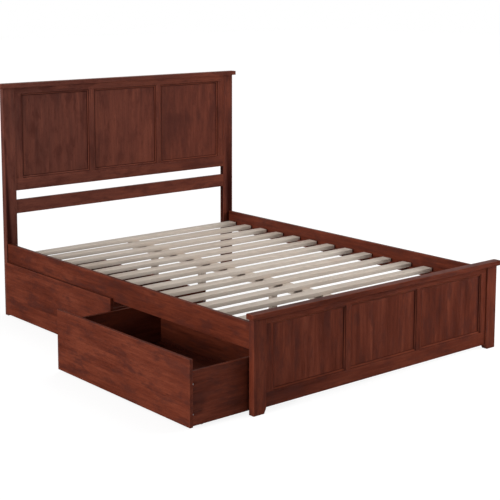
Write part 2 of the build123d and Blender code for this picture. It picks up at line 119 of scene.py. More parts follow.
class Graph:
    """Adds nodes to one tree and links them."""

    def __init__(self, tree: Tree) -> None:
        """Starts from an empty tree."""
        self.tree = tree
        tree.nodes.clear()

    def feed(self, node: Node, inputs: dict[Any, Any]) -> None:
        """Sets or links some inputs of a node.

        Args:
            node: The node.
            inputs: Values or sockets, by the name or index of the input.
        """
        for key, value in inputs.items():
            if isinstance(value, Socket):
                self.tree.links.new(value, node.inputs[key])
            else:
                node.inputs[key].default_value = value

    def add(self, kind: str, inputs: Optional[dict[Any, Any]] = None, **settings: Any) -> Node:
        """Makes one node.

        Args:
            kind: The node's type name.
            inputs: Values or sockets for its inputs, by name or index.
            settings: Attributes to set on the node before its inputs.

        Returns:
            The new node.
        """
        node = self.tree.nodes.new(kind)
        for name, value in settings.items():
            setattr(node, name, value)
        self.feed(node, inputs or {})
        return node

    def attribute(self, name: str, output: str = "Fac") -> Socket:
        """Returns one of the piece's own attributes."""
        return self.add("ShaderNodeAttribute", attribute_name=name).outputs[output]

    def group(self, tree: Tree, inputs: dict[str, Any]) -> Any:
        """Returns the outputs of a group that is placed with these values or sockets."""
        return self.add("ShaderNodeGroup", inputs, node_tree=tree).outputs

    def maths(self, operation: str, a: Any, b: Any = 0.0, clamp: bool = False) -> Socket:
        """Returns the result of one Math node."""
        kind = "ShaderNodeMath"
        return self.add(kind, {0: a, 1: b}, operation=operation, use_clamp=clamp).outputs[0]

    def vector(self, operation: str, a: Any, b: Any) -> Socket:
        """Returns the result of one Vector Math node."""
        return self.add("ShaderNodeVectorMath", {0: a, 1: b}, operation=operation).outputs[0]

    def length(self, spot: Socket) -> Socket:
        """Returns the length of a vector."""
        return self.add("ShaderNodeVectorMath", {0: spot}, operation="LENGTH").outputs["Value"]

    def span(self, value: Socket, low: float, high: float,
             to_low: float = 0.0, to_high: float = 1.0) -> Socket:
        """Returns a value mapped from one span to another, clamped and smoothed at its ends."""
        inputs = {"Value": value, 1: low, 2: high, 3: to_low, 4: to_high}
        return self.add("ShaderNodeMapRange", inputs, interpolation_type="SMOOTHSTEP").outputs[0]

    def noise(self, place: Socket, figure: Figure) -> Socket:
        """Draws a figure in solid timber.

        Args:
            place: The place in the timber, with the fibres along X.
            figure: The figure.

        Returns:
            Its strength, from 0 to 1.
        """
        stretched = self.vector("MULTIPLY", place, (figure.along, figure.across, figure.across))
        inputs = {"Vector": stretched, "Scale": 1.0, "Detail": figure.detail, "Roughness": figure.rough}
        value = self.add("ShaderNodeTexNoise", inputs).outputs["Fac"]
        return self.span(value, *figure.shown) if figure.shown else value

    def blend(self, factor: Any, a: Any, b: Any) -> Socket:
        """Returns a mix of two colours."""
        return self.add("ShaderNodeMix", {0: factor, 6: a, 7: b}, data_type="RGBA").outputs[2]

    def layer(self, colour: Socket, *layers: tuple[Socket, float, Colour]) -> Socket:
        """Lays further colours over one.

        Args:
            colour: The colour underneath.
            layers: Where each further colour lies, how strong it is, and the colour.

        Returns:
            The colour on top.
        """
        for mask, strength, stain in layers:
            colour = self.blend(self.maths("MULTIPLY", mask, strength), colour, stain)
        return colour

    def weigh(self, *shares: tuple[Socket, float]) -> Socket:
        """Adds up values that lie round a half.

        Args:
            shares: Each value with its share.

        Returns:
            Their weighted sum round a half, clamped to 0 and 1.
        """
        total: Any = 0.5
        for part, share in shares:
            step = self.maths("MULTIPLY", self.maths("SUBTRACT", part, 0.5), share)
            total = self.maths("ADD", step, total, clamp=part is shares[-1][0])
        return total

    def ramp(self, factor: Socket, *colours: Colour) -> Socket:
        """Makes a ramp of evenly spaced colours.

        Args:
            factor: The place on the ramp, from 0 to 1.
            colours: Two or more colours.

        Returns:
            The colour there.
        """
        node = self.add("ShaderNodeValToRGB", {0: factor})
        stops = node.color_ramp.elements
        for _ in range(len(colours) - len(stops)):
            stops.new(0.5)
        for index, colour in enumerate(colours):
            stops[index].position = index / (len(colours) - 1)
            stops[index].color = colour
        return node.outputs[0]

    def bump(self, height: Socket, distance: float, strength: float) -> Socket:
        """Returns a normal bent by a height."""
        inputs = {"Height": height, "Distance": distance, "Strength": strength}
        return self.add("ShaderNodeBump", inputs).outputs[0]


def new_tree(name: str, kind: TreeKind, inputs: dict[str, Kind],
             outputs: dict[str, Kind]) -> tuple[Graph, Any, Node]:
    """Makes an empty node group.

    Args:
        name: The group's name.
        kind: What it is a group of.
        inputs: Kinds of socket by socket name.
        outputs: Kinds of socket by socket name.

    Returns:
        Its graph, the outputs of its input node, and its output node.
    """
    tree = bpy.data.node_groups.new(name, kind.value)
    for sockets, way in ((inputs, "INPUT"), (outputs, "OUTPUT")):
        for socket, sort in sockets.items():
            tree.interface.new_socket(socket, in_out=way, socket_type=sort.value)
    graph = Graph(tree)
    return graph, graph.add("NodeGroupInput").outputs, graph.add("NodeGroupOutput")


def staves_group() -> Tree:
    """Builds the group that splits a board into glued staves, each with its own timber.

    Returns:
        The group.
    """
    seed_step, timber_jump, joint_width = 3.7, (9.0, 0.6, 0.4), 0.0012
    graph, given, end = new_tree(
        "Glued staves", TreeKind.SHADER,
        {"Fibre": Kind.VECTOR, "Seed": Kind.FLOAT, "Width": Kind.FLOAT},
        {"Fibre": Kind.VECTOR, "Tone": Kind.FLOAT, "Joint": Kind.FLOAT},
    )
    across = graph.add("ShaderNodeSeparateXYZ", {0: given["Fibre"]}).outputs["Y"]
    place = graph.maths("DIVIDE", across, given["Width"])
    place = graph.maths("ADD", place, graph.maths("MULTIPLY", given["Seed"], seed_step))
    key = {0: graph.maths("FLOOR", place), 1: given["Seed"]}
    key = {"Vector": graph.add("ShaderNodeCombineXYZ", key).outputs[0]}
    dice = graph.add("ShaderNodeTexWhiteNoise", key, noise_dimensions="3D").outputs
    jump = graph.vector("MULTIPLY", dice["Color"], timber_jump)
    from_edge = graph.maths("MULTIPLY", graph.maths("PINGPONG", place, 0.5), given["Width"])
    graph.feed(end, {
        "Fibre": graph.vector("ADD", given["Fibre"], jump),
        "Tone": dice["Value"],
        "Joint": graph.span(from_edge, 0.0, joint_width, 1.0, 0.0),
    })
    return graph.tree


FIGURES = {
    "Streaks": Figure(3.2, 44.0, detail=5.0, rough=0.75),
    "Clouds": Figure(3.0, 8.0),
    "Blots": Figure(7.0, 19.0, detail=3.0, rough=0.65, shown=(0.46, 0.68)),
    "Flecks": Figure(38.0, 260.0, detail=1.0, shown=(0.64, 0.74)),
    "Pores": Figure(26.0, 900.0, rough=0.6, shown=(0.52, 0.72)),
}
WANDER = Figure(1.1, 3.0, detail=1.0)
SWAY = Figure(0.7, 9.0)


def grain_group() -> Tree:
    """Builds the group that cuts growth rings, figure and pores out of solid timber.

    Returns:
        The group.
    """
    seed_steps = (11.3, 5.9, 7.7)
    wander_reach, sway_reach, heart_depth = 0.22, 0.05, 0.07
    early_wood, late_wood = (0.05, 0.85), (0.88, 1.0)
    graph, given, end = new_tree(
        "Wood grain", TreeKind.SHADER,
        {"Fibre": Kind.VECTOR, "Seed": Kind.FLOAT, "Ring Spacing": Kind.FLOAT},
        {"Rings": Kind.FLOAT} | {name: Kind.FLOAT for name in FIGURES},
    )
    jumps = [graph.maths("MULTIPLY", given["Seed"], step) for step in seed_steps]
    scatter = graph.add("ShaderNodeCombineXYZ", dict(enumerate(jumps))).outputs[0]
    place = graph.vector("ADD", given["Fibre"], scatter)
    wander = graph.maths("SUBTRACT", graph.noise(place, WANDER), 0.5)
    sway = graph.maths("SUBTRACT", graph.noise(place, SWAY), 0.5)
    own = graph.add("ShaderNodeSeparateXYZ", {0: given["Fibre"]}).outputs
    across = graph.maths("ADD", own["Y"], graph.maths("MULTIPLY", sway, sway_reach))
    deep = graph.maths("ADD", own["Z"], graph.maths("MULTIPLY", wander, wander_reach))
    deep = graph.maths("ADD", deep, heart_depth)
    radius = graph.length(graph.add("ShaderNodeCombineXYZ", {0: across, 1: deep}).outputs[0])
    ring = graph.maths("FRACT", graph.maths("DIVIDE", radius, given["Ring Spacing"]))
    late = graph.span(ring, *late_wood, 1.0, 0.0)
    graph.feed(end, {"Rings": graph.maths("MULTIPLY", graph.span(ring, *early_wood), late)})
    graph.feed(end, {name: graph.noise(place, figure) for name, figure in FIGURES.items()})
    return graph.tree


def breakup_group() -> Tree:
    """Builds the group that clouds a gloss with the uneven lay of a finish.

    Returns:
        The group.
    """
    shown = (0.3, 0.7)
    graph, given, end = new_tree("Finish breakup", TreeKind.SHADER,
                                 {"Place": Kind.VECTOR, "Scale": Kind.FLOAT}, {"Cloud": Kind.FLOAT})
    inputs = {"Vector": given["Place"], "Scale": given["Scale"], "Detail": 3.0}
    cloud = graph.add("ShaderNodeTexNoise", inputs).outputs["Fac"]
    graph.feed(end, {"Cloud": graph.span(cloud, *shown)})
    return graph.tree


def knots_group() -> Tree:
    """Builds the group that scatters a few small knots over softwood.

    Returns:
        The group.
    """
    seed_step, cell, rarity, size_share = 31.0, (3.2, 7.0, 7.0), 0.62, 0.085
    rims = {"Knot": (0.7, 1.1), "Halo": (1.0, 3.2)}
    graph, given, end = new_tree("Knots", TreeKind.SHADER, {"Fibre": Kind.VECTOR, "Seed": Kind.FLOAT},
                                 {name: Kind.FLOAT for name in rims})
    lane = graph.add("ShaderNodeCombineXYZ", {0: graph.maths("MULTIPLY", given["Seed"], seed_step)})
    place = graph.vector("MULTIPLY", graph.vector("ADD", given["Fibre"], lane.outputs[0]), cell)
    inputs = {"Vector": place, "Scale": 1.0}
    cells = graph.add("ShaderNodeTexVoronoi", inputs, voronoi_dimensions="3D").outputs
    chosen = graph.add("ShaderNodeSeparateColor", {0: cells["Color"]}).outputs[0]
    present = graph.maths("GREATER_THAN", chosen, rarity)
    near = graph.maths("DIVIDE", cells["Distance"], graph.maths("MULTIPLY", chosen, size_share))
    for name, rim in rims.items():
        graph.feed(end, {name: graph.maths("MULTIPLY", graph.span(near, *rim, 1.0, 0.0), present)})
    return graph.tree


class Effects:
    """The shader groups that more than one finish uses, built once."""

    def __init__(self) -> None:
        """Builds the groups."""
        self.staves = staves_group()
        self.grain = grain_group()
        self.breakup = breakup_group()
        self.knots = knots_group()


def start_material(name: str) -> tuple[Material, Graph, Node]:
    """Makes a material with a Principled shader.

    Args:
        name: The material's name.

    Returns:
        The material, its graph and its shader node.
    """
    material = bpy.data.materials.new(name)
    material.use_nodes = True
    graph = Graph(material.node_tree)
    shader = graph.add("ShaderNodeBsdfPrincipled")
    graph.add("ShaderNodeOutputMaterial", {0: shader.outputs[0]})
    return material, graph, shader


@dataclass(frozen=True)
class StainedWood:
    """A reddish-brown stain under satin lacquer, on solid boards."""

    name: str = "stained_wood"
    deep: Colour = (0.039, 0.0071, 0.0038, 1.0)
    middle: Colour = (0.111, 0.0228, 0.0113, 1.0)
    pale: Colour = (0.186, 0.0440, 0.0218, 1.0)
    plum: Colour = (0.061, 0.0162, 0.0118, 1.0)
    # This colour is painted shade, laid into inside corners and creases.
    painted_crease_shade: Colour = (0.020, 0.0026, 0.0015, 1.0)
    # This colour is a painted sheen: a greyish tint standing in for reflected light on the lacquer.
    painted_sheen_colour: Colour = (0.125, 0.0680, 0.0590, 1.0)
    ring_spacing: float = 0.0085
    streaks: float = 1.60
    clouds: float = 0.90
    rings: float = 0.04
    board_tone: float = 0.14
    stave_tone: float = 0.10
    # Strength of the painted highlight: the pale colour laid on tilted faces such as bevels.
    painted_highlight_strength: float = 0.50
    # Strength of the painted sheen on the lacquer.
    painted_sheen_strength: float = 0.28
    blots: float = 0.76
    flecks: float = 0.50
    pores: float = 0.22
    joints: float = 0.15
    # Strength and span of the painted shade in creases.
    crease_shade_strength: float = 0.95
    crease_shade_span: tuple[float, float] = (0.10, 0.85)
    cloud_scale: float = 9.0
    roughness: float = 0.40
    cloud_roughness: float = 0.10
    pore_roughness: float = 0.10
    ring_height: float = 0.4
    relief_depth: float = 0.00025
    relief: float = 0.35
    specular: float = 0.15

    def material(self, effects: Effects) -> Material:
        """Builds the finish.

        Args:
            effects: The shared shader groups.

        Returns:
            The material, which reads the boards' fibre, tone, stave, crease_shade (painted shade),
            painted_highlight and painted_sheen.
        """
        material, graph, shader = start_material(self.name)
        fibre, tone = graph.attribute("fibre", "Vector"), graph.attribute("tone")
        width, crease_shade = graph.attribute("stave"), graph.attribute("crease_shade")
        stave = graph.group(effects.staves, {"Fibre": fibre, "Seed": tone, "Width": width})
        timber = {"Fibre": stave["Fibre"], "Seed": tone, "Ring Spacing": self.ring_spacing}
        wood = graph.group(effects.grain, timber)
        shade = graph.weigh(
            (wood["Streaks"], self.streaks), (wood["Clouds"], self.clouds), (wood["Rings"], self.rings),
            (tone, self.board_tone), (stave["Tone"], self.stave_tone),
        )
        colour = graph.layer(
            graph.ramp(shade, self.deep, self.middle, self.pale),
            # Painted highlight: tilted faces are made paler as if catching light.
            (graph.attribute("painted_highlight"), self.painted_highlight_strength, self.pale),
            # Painted sheen: a greyish tint standing in for reflected light.
            (graph.attribute("painted_sheen"), self.painted_sheen_strength, self.painted_sheen_colour),
            (wood["Blots"], self.blots, self.plum),
            (wood["Flecks"], self.flecks, self.deep),
            (wood["Pores"], self.pores, self.deep),
            (stave["Joint"], self.joints, self.deep),
            # Painted shade in inside corners and creases.
            (graph.span(crease_shade, *self.crease_shade_span), self.crease_shade_strength, self.painted_crease_shade),
        )
        cloud = graph.group(effects.breakup, {"Place": fibre, "Scale": self.cloud_scale})["Cloud"]
        rough = graph.maths("ADD", graph.maths("MULTIPLY", cloud, self.cloud_roughness), self.roughness)
        rough = graph.maths("ADD", rough, graph.maths("MULTIPLY", wood["Pores"], self.pore_roughness))
        height = graph.maths("MULTIPLY", wood["Rings"], self.ring_height)
        height = graph.maths("SUBTRACT", height, wood["Pores"])
        graph.feed(shader, {
            "Base Color": colour, "Roughness": rough, "Specular IOR Level": self.specular,
            "Normal": graph.bump(height, self.relief_depth, self.relief),
        })
        return material


@dataclass(frozen=True)
class BareSoftwood:
    """Planed pale softwood with small knots, as on the slats and the centre support."""

    name: str = "bare_softwood"
    deep: Colour = (0.364, 0.293, 0.233, 1.0)
    middle: Colour = (0.556, 0.482, 0.412, 1.0)
    pale: Colour = (0.667, 0.603, 0.530, 1.0)
    blush: Colour = (0.520, 0.375, 0.300, 1.0)
    knot: Colour = (0.150, 0.075, 0.040, 1.0)
    ring_spacing: float = 0.0060
    streaks: float = 0.45
    clouds: float = 0.50
    rings: float = -0.16
    board_tone: float = 0.35
    blushing: float = 0.16
    halos: float = 0.35
    knots: float = 0.75
    cloud_scale: float = 4.0
    roughness: float = 0.55
    pore_roughness: float = 0.12
    relief_depth: float = 0.0002
    relief: float = 0.4
    specular: float = 0.30

    def material(self, effects: Effects) -> Material:
        """Builds the finish.

        Args:
            effects: The shared shader groups.

        Returns:
            The material, which reads the boards' fibre and tone.
        """
        material, graph, shader = start_material(self.name)
        fibre, tone = graph.attribute("fibre", "Vector"), graph.attribute("tone")
        timber = {"Fibre": fibre, "Seed": tone, "Ring Spacing": self.ring_spacing}
        wood = graph.group(effects.grain, timber)
        knots = graph.group(effects.knots, {"Fibre": fibre, "Seed": tone})
        cloud = graph.group(effects.breakup, {"Place": fibre, "Scale": self.cloud_scale})["Cloud"]
        shade = graph.weigh((wood["Streaks"], self.streaks), (wood["Clouds"], self.clouds),
                            (wood["Rings"], self.rings), (tone, self.board_tone))
        colour = graph.layer(
            graph.ramp(shade, self.deep, self.middle, self.pale),
            (cloud, self.blushing, self.blush),
            (knots["Halo"], self.halos, self.blush),
            (knots["Knot"], self.knots, self.knot),
        )
        rough = graph.maths("MULTIPLY", wood["Pores"], self.pore_roughness)
        graph.feed(shader, {
            "Base Color": colour, "Roughness": graph.maths("ADD", rough, self.roughness),
            "Normal": graph.bump(wood["Pores"], self.relief_depth, self.relief),
            "Specular IOR Level": self.specular,
        })
        return material


@dataclass(frozen=True)
class CloudyFinish:
    """A plain finish with faint clouds in its colour and gloss, as on steel and plastic."""

    name: str
    colour: Colour
    worn: Colour
    wear: float
    cloud_scale: float
    roughness: tuple[float, float]
    metallic: float = 0.0
    spark: Optional[Figure] = None
    relief_depth: float = 0.00005
    relief: float = 0.3

    def material(self, effects: Effects) -> Material:
        """Builds the finish.

        Args:
            effects: The shared shader groups.

        Returns:
            The material, with a fine relief where it has a spark texture.
        """
        material, graph, shader = start_material(self.name)
        place = graph.add("ShaderNodeTexCoord").outputs["Object"]
        cloud = graph.group(effects.breakup, {"Place": place, "Scale": self.cloud_scale})["Cloud"]
        worn = graph.maths("MULTIPLY", cloud, self.wear)
        graph.feed(shader, {
            "Base Color": graph.blend(worn, self.colour, self.worn), "Metallic": self.metallic,
            "Roughness": graph.span(cloud, 0.0, 1.0, *self.roughness),
        })
        if self.spark:
            height = graph.noise(place, self.spark)
            graph.feed(shader, {"Normal": graph.bump(height, self.relief_depth, self.relief)})
        return material


ZINC_STEEL = CloudyFinish("zinc_steel", (0.62, 0.62, 0.63, 1.0), (0.42, 0.42, 0.44, 1.0), wear=1.0,
                          cloud_scale=260.0, roughness=(0.30, 0.46), metallic=0.55)
MOULDED_PLASTIC = CloudyFinish("moulded_plastic", (0.018, 0.018, 0.020, 1.0),
                               (0.060, 0.060, 0.062, 1.0), wear=0.5, cloud_scale=120.0,
                               roughness=(0.42, 0.60), spark=Figure(2600.0, 2600.0, detail=1.0))


@dataclass(frozen=True)
class StudioFloor:
    """A plain pale floor with a faint cloud in it, bright to the eye and kept out of the gloss."""

    name: str = "studio_floor"
    pale: Colour = (0.84, 0.84, 0.84, 1.0)
    shade: Colour = (0.81, 0.81, 0.81, 1.0)
    faint: Colour = (0.22, 0.22, 0.22, 1.0)
    near: Colour = (0.86, 0.86, 0.86, 1.0)
    far: Colour = (0.95, 0.95, 0.95, 1.0)
    black: Colour = (0.0, 0.0, 0.0, 1.0)
    cloud_scale: float = 0.8
    fade: tuple[float, float] = (1.8, 6.0)
    roughness: float = 0.9

    def material(self, effects: Effects) -> Material:
        """Builds the finish.

        Args:
            effects: The shared shader groups.

        Returns:
            The material.
        """
        material, graph, shader = start_material(self.name)
        place = graph.add("ShaderNodeTexCoord").outputs["Object"]
        cloud = graph.group(effects.breakup, {"Place": place, "Scale": self.cloud_scale})["Cloud"]
        rays = graph.add("ShaderNodeLightPath").outputs
        seen = rays["Is Camera Ray"]
        tint = graph.blend(seen, graph.blend(cloud, self.pale, self.shade), self.faint)
        white = graph.blend(graph.span(graph.length(place), *self.fade), self.near, self.far)
        graph.feed(shader, {
            "Base Color": graph.blend(rays["Is Glossy Ray"], tint, self.black),
            "Roughness": self.roughness, "Specular IOR Level": 0.0,
            "Emission Color": graph.blend(seen, self.black, white), "Emission Strength": 1.0,
        })
        material.cycles.emission_sampling = "NONE"
        return material


@dataclass
class Finishes:
    """The materials of the bed, by what they cover."""

    stained: Material
    softwood: Material
    plastic: Material
    steel: Material
    floor: Material


def make_finishes() -> Finishes:
    """Builds all finishes on one set of shared effects.

    Returns:
        The finishes.
    """
    effects = Effects()
    kinds = (StainedWood(), BareSoftwood(), MOULDED_PLASTIC, ZINC_STEEL, StudioFloor())
    return Finishes(*(kind.material(effects) for kind in kinds))


@dataclass(frozen=True)
class PaintedShading:
    """Painted shade in a board's inside corners and creases, and a painted sheen on its lacquer."""

    # Darkness of the painted shade at a panel's low, side and high edges, and the crease's width.
    low: float = 1.0
    side: float = 1.0
    high: float = 0.55
    crease: float = 0.0034
    # Strength of the painted sheen, and how it changes across the bed.
    painted_sheen: float = 0.0
    painted_sheen_middle: float = 0.65
    painted_sheen_slope: float = 0.45

    def painted_sheen_at(self, x: float) -> float:
        """Returns how strong the painted sheen is at a place across the bed, stronger towards the left.
        """
        return self.painted_sheen * (self.painted_sheen_middle - self.painted_sheen_slope * x)


def body_of(node: str) -> str:
    """Returns the body that carries a CAD node."""
    bodies = frame["record"]["behaviour"]["bodies"]
    return next(body for body, members in bodies.items() if node in members)


def add_object(name: str, data: Any) -> bpy.types.Object:
    """Adds an object to the scene.

    Args:
        name: Its name.
        data: Its mesh, light or camera.

    Returns:
        The object, at the origin.
    """
    thing = bpy.data.objects.new(name, data)
    bpy.context.scene.collection.objects.link(thing)
    return thing


def link_piece(name: str, mesh: Mesh, *nodes: str) -> None:
    """Adds a finished mesh to the scene in place of CAD nodes.

    Args:
        name: The piece's name.
        mesh: Its mesh, in the bed's frame.
        nodes: The CAD nodes that it stands for, all on one body.
    """
    piece = add_object(name, mesh)
    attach(piece, body_of(nodes[0]))
    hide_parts(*nodes)
    LOG.info("piece %s: %d faces for %s", name, len(mesh.polygons), ", ".join(nodes))


def paint_node(node: str, finish: Material) -> None:
    """Gives a CAD node that keeps its shape a better material.

    Args:
        node: The CAD node.
        finish: The material.
    """
    for place in frame["nodes"][node].material_slots:
        place.link = "OBJECT"
        place.material = finish
    LOG.info("node %s keeps its shape in %s", node, finish.name)


def corners(points: Iterable[Vector]) -> tuple[Vector, Vector]:
    """Returns the lowest and the highest corner of the box round some points."""
    columns = list(zip(*points))
    return Vector(map(min, columns)), Vector(map(max, columns))


def to_mesh(bm: BMesh, name: str) -> Mesh:
    """Turns mesh data into a mesh, with its faces pointing outwards.

    Args:
        bm: The mesh data, which is freed.
        name: The mesh's name.

    Returns:
        The mesh.
    """
    bmesh.ops.recalc_face_normals(bm, faces=bm.faces)
    mesh = bpy.data.meshes.new(name)
    bm.to_mesh(mesh)
    bm.free()
    return mesh


def in_fixed_order(mesh: Mesh) -> Mesh:
    """Rebuilds a mesh with its points and faces sorted.

    A small mesh that was cut or bevelled can have them in another order on each run.

    Args:
        mesh: The mesh, which is removed.

    Returns:
        The new mesh.
    """
    order = sorted(range(len(mesh.vertices)), key=lambda i: tuple(mesh.vertices[i].co))
    place = {old: new for new, old in enumerate(order)}
    faces = []
    for polygon in mesh.polygons:
        face = [place[i] for i in polygon.vertices]
        first = face.index(min(face))
        faces.append(face[first:] + face[:first])
    ordered = bpy.data.meshes.new(mesh.name)
    ordered.from_pydata([mesh.vertices[i].co for i in order], [], sorted(faces))
    bpy.data.meshes.remove(mesh)
    return ordered


def smooth(mesh: Mesh) -> None:
    """Shades a mesh smooth except at its sharp edges."""
    mesh.shade_smooth()
    mesh.set_sharp_from_angle(angle=SHARP_ANGLE)


def write_values(mesh: Mesh, name: str, values: Sequence[float], domain: str = "POINT") -> None:
    """Stores a number for each point or face of a mesh."""
    store = mesh.attributes.new(name, "FLOAT", domain)
    store.data.foreach_set("value", values)


def write_fibres(mesh: Mesh, grain: Grain) -> None:
    """Stores each point's place in its board's own timber.

    Args:
        mesh: The board's mesh.
        grain: Which way its fibres run.
    """
    low, high = corners(v.co for v in mesh.vertices)
    middle = (low + high) / 2
    fibre = mesh.attributes.new("fibre", "FLOAT_VECTOR", "POINT")
    for vertex, store in zip(mesh.vertices, fibre.data):
        own = vertex.co - middle
        store.vector = [own[axis] for axis in grain.value]


def cut_across(bm: BMesh, axis: int, place: float) -> None:
    """Cuts a board's faces with a plane square to an axis, so that an attribute can stop there.

    Args:
        bm: The merged board.
        axis: The axis that the plane is square to.
        place: Where the plane stands on it.
    """
    normal = Vector(float(axis == i) for i in range(3))
    everything = bm.verts[:] + bm.edges[:] + bm.faces[:]
    bmesh.ops.bisect_plane(bm, geom=everything, plane_co=normal * place, plane_no=normal)


def inside_corners(bm: BMesh, shortest: float) -> list[tuple[bmesh.types.BMEdge, bool]]:
    """Finds a board's inside corners.

    Args:
        bm: The merged board.
        shortest: Edges shorter than this are left out.

    Returns:
        Each such edge, and whether it lies level.
    """
    bent = math.radians(20)
    found = []
    for edge in bm.edges:
        if len(edge.link_faces) == 2 and not edge.is_convex and edge.calc_face_angle(0.0) > bent:
            run = edge.verts[1].co - edge.verts[0].co
            if run.length > shortest:
                found.append((edge, abs(run.z) < abs(run.x)))
    return found


@dataclass(frozen=True)
class Board:
    """One board, made from a CAD node.

    The arris is how much its outside corners are eased, and the panel reach is how far a panel's edges
    lie hidden in its frame, both in metres. The tone goes from 0 to 1.
    """

    node: str
    grain: Grain
    tone: float
    finish: Material
    layup: Layup = Layup.SINGLE
    arris: float = 0.0
    panel_reach: float = 0.0
    painted_shading: PaintedShading = PaintedShading()
    flat: float = math.radians(0.2)
    sharp: float = math.radians(60)
    moulding_length: float = 0.1
    # Faces tilted further than this from the bed's axes get the painted highlight.
    highlight_tilt: float = 0.95

    def build(self) -> Mesh:
        """Builds the mesh from the node's.

        Returns:
            The mesh, eased, and marked where painted shade goes in its creases.
        """
        mesh = frame["nodes"][self.node].data.copy()
        mesh.name = f"{self.node}_board"
        bm = bmesh.new()
        bm.from_mesh(mesh)
        bmesh.ops.remove_doubles(bm, verts=bm.verts, dist=MERGE_REACH)
        bmesh.ops.dissolve_limit(bm, angle_limit=self.flat, verts=bm.verts, edges=bm.edges)
        if self.panel_reach:
            self.shade_round_panel(bm)
        else:
            self.shade_inside_corners(bm)
        if self.arris:
            self.ease_edges(bm)
        bm.to_mesh(mesh)
        bm.free()
        return mesh

    def shade_inside_corners(self, bm: BMesh) -> None:
        """Marks where painted shade goes in the inside corners of a frame, where shade falls.

        Args:
            bm: The merged board.
        """
        crease_shade = bm.verts.layers.float.new("crease_shade")
        low, high = corners(v.co for v in bm.verts)
        middle, painted_shading = (low + high) / 2, self.painted_shading
        mouldings = inside_corners(bm, self.moulding_length)
        runs = [(edge.verts[0].co, 2 if level else 0) for edge, level in mouldings]
        for axis, place in sorted({(axis, round(corner[axis], 5)) for corner, axis in runs}):
            cut_across(bm, axis, place - painted_shading.crease)
            cut_across(bm, axis, place + painted_shading.crease)
        for edge, level in inside_corners(bm, 0.0):
            above = edge.verts[0].co.z > middle.z
            # Painted shade: each inside corner gets a darkness by where it lies round the panel.
            shade_level = painted_shading.side if not level else painted_shading.low if above else painted_shading.high
            for vertex in edge.verts:
                vertex[crease_shade] = max(vertex[crease_shade], shade_level)

    def shade_round_panel(self, bm: BMesh) -> None:
        """Marks where painted shade goes round a panel, in the crease beside the frame that covers its
        edges.

        Args:
            bm: The merged panel.
        """
        crease_shade = bm.verts.layers.float.new("crease_shade")
        low, high = corners(v.co for v in bm.verts)
        painted_shading, inner = self.painted_shading, self.panel_reach + self.painted_shading.crease
        for axis in (0, 2):
            for depth in (self.panel_reach, inner):
                cut_across(bm, axis, low[axis] + depth)
                cut_across(bm, axis, high[axis] - depth)
        # Painted shade: full at the panel's visible edge, fading out inwards over the crease's width.
        for vertex in bm.verts:
            depths = ((vertex.co.z - low.z, painted_shading.low), (high.z - vertex.co.z, painted_shading.high),
                      (vertex.co.x - low.x, painted_shading.side), (high.x - vertex.co.x, painted_shading.side))
            shade_levels = (shade_level for depth, shade_level in depths if depth < inner - MERGE_REACH)
            vertex[crease_shade] = max(shade_levels, default=0.0)

    def ease_edges(self, bm: BMesh) -> None:
        """Takes the sharp arris off the outside corners.

        Args:
            bm: The merged board.
        """
        edges = [e for e in bm.edges if e.is_convex and len(e.link_faces) == 2
                 and e.calc_face_angle(0.0) > self.sharp and e.calc_length() > 4 * self.arris]
        bmesh.ops.bevel(bm, geom=edges, offset=self.arris, segments=2, profile=0.5, affect="EDGES",
                        clamp_overlap=True)

    def dress(self) -> None:
        """Gives the board its own timber and finish, and puts it in the node's place."""
        mesh = self.build()
        mesh.materials.clear()
        mesh.materials.append(self.finish)
        mesh.polygons.foreach_set("material_index", [0] * len(mesh.polygons))
        smooth(mesh)
        write_fibres(mesh, self.grain)
        count = len(mesh.vertices)
        write_values(mesh, "tone", [self.tone] * count)
        write_values(mesh, "stave", [self.layup.value] * count)
        # Painted sheen: a greyish tint standing in for reflected light, set by place across the bed.
        write_values(mesh, "painted_sheen", [self.painted_shading.painted_sheen_at(v.co.x) for v in mesh.vertices])
        # Painted highlight: tilted faces, such as bevels, are marked to be painted paler as if catching
        # light.
        tilted = [float(max(map(abs, face.normal)) < self.highlight_tilt) for face in mesh.polygons]
        write_values(mesh, "painted_highlight", tilted, "FACE")
        link_piece(f"{self.node}_board", mesh, self.node)


@dataclass
class PanelBoard:
    """A headboard or a footboard: posts, cap, rails, uprights and flat panels."""

    name: str
    post: str
    rails: tuple[str, ...]
    dice: random.Random
    painted_shading: PaintedShading
    panel_reach: float = 0.0088

    def build(self, finishes: Finishes) -> None:
        """Dresses every board of the frame.

        Args:
            finishes: The bed's materials.
        """
        flat = [f"{self.name}_{rail}" for rail in self.rails]
        upright = [f"{self.name}_{part}_{side}" for part in ("stile", "mullion") for side in SIDES]
        upright += [f"{self.post}_post_{side}" for side in SIDES]
        for nodes, grain in ((flat, Grain.ACROSS), (upright, Grain.UPRIGHT)):
            for node in nodes:
                Board(node, grain, self.dice.random(), finishes.stained, arris=ARRIS,
                      painted_shading=self.painted_shading).dress()
        for place in ("left", "centre", "right"):
            Board(f"{self.name}_panel_{place}", Grain.UPRIGHT, self.dice.random(), finishes.stained,
                  Layup.STAVES, panel_reach=self.panel_reach, painted_shading=self.painted_shading).dress()


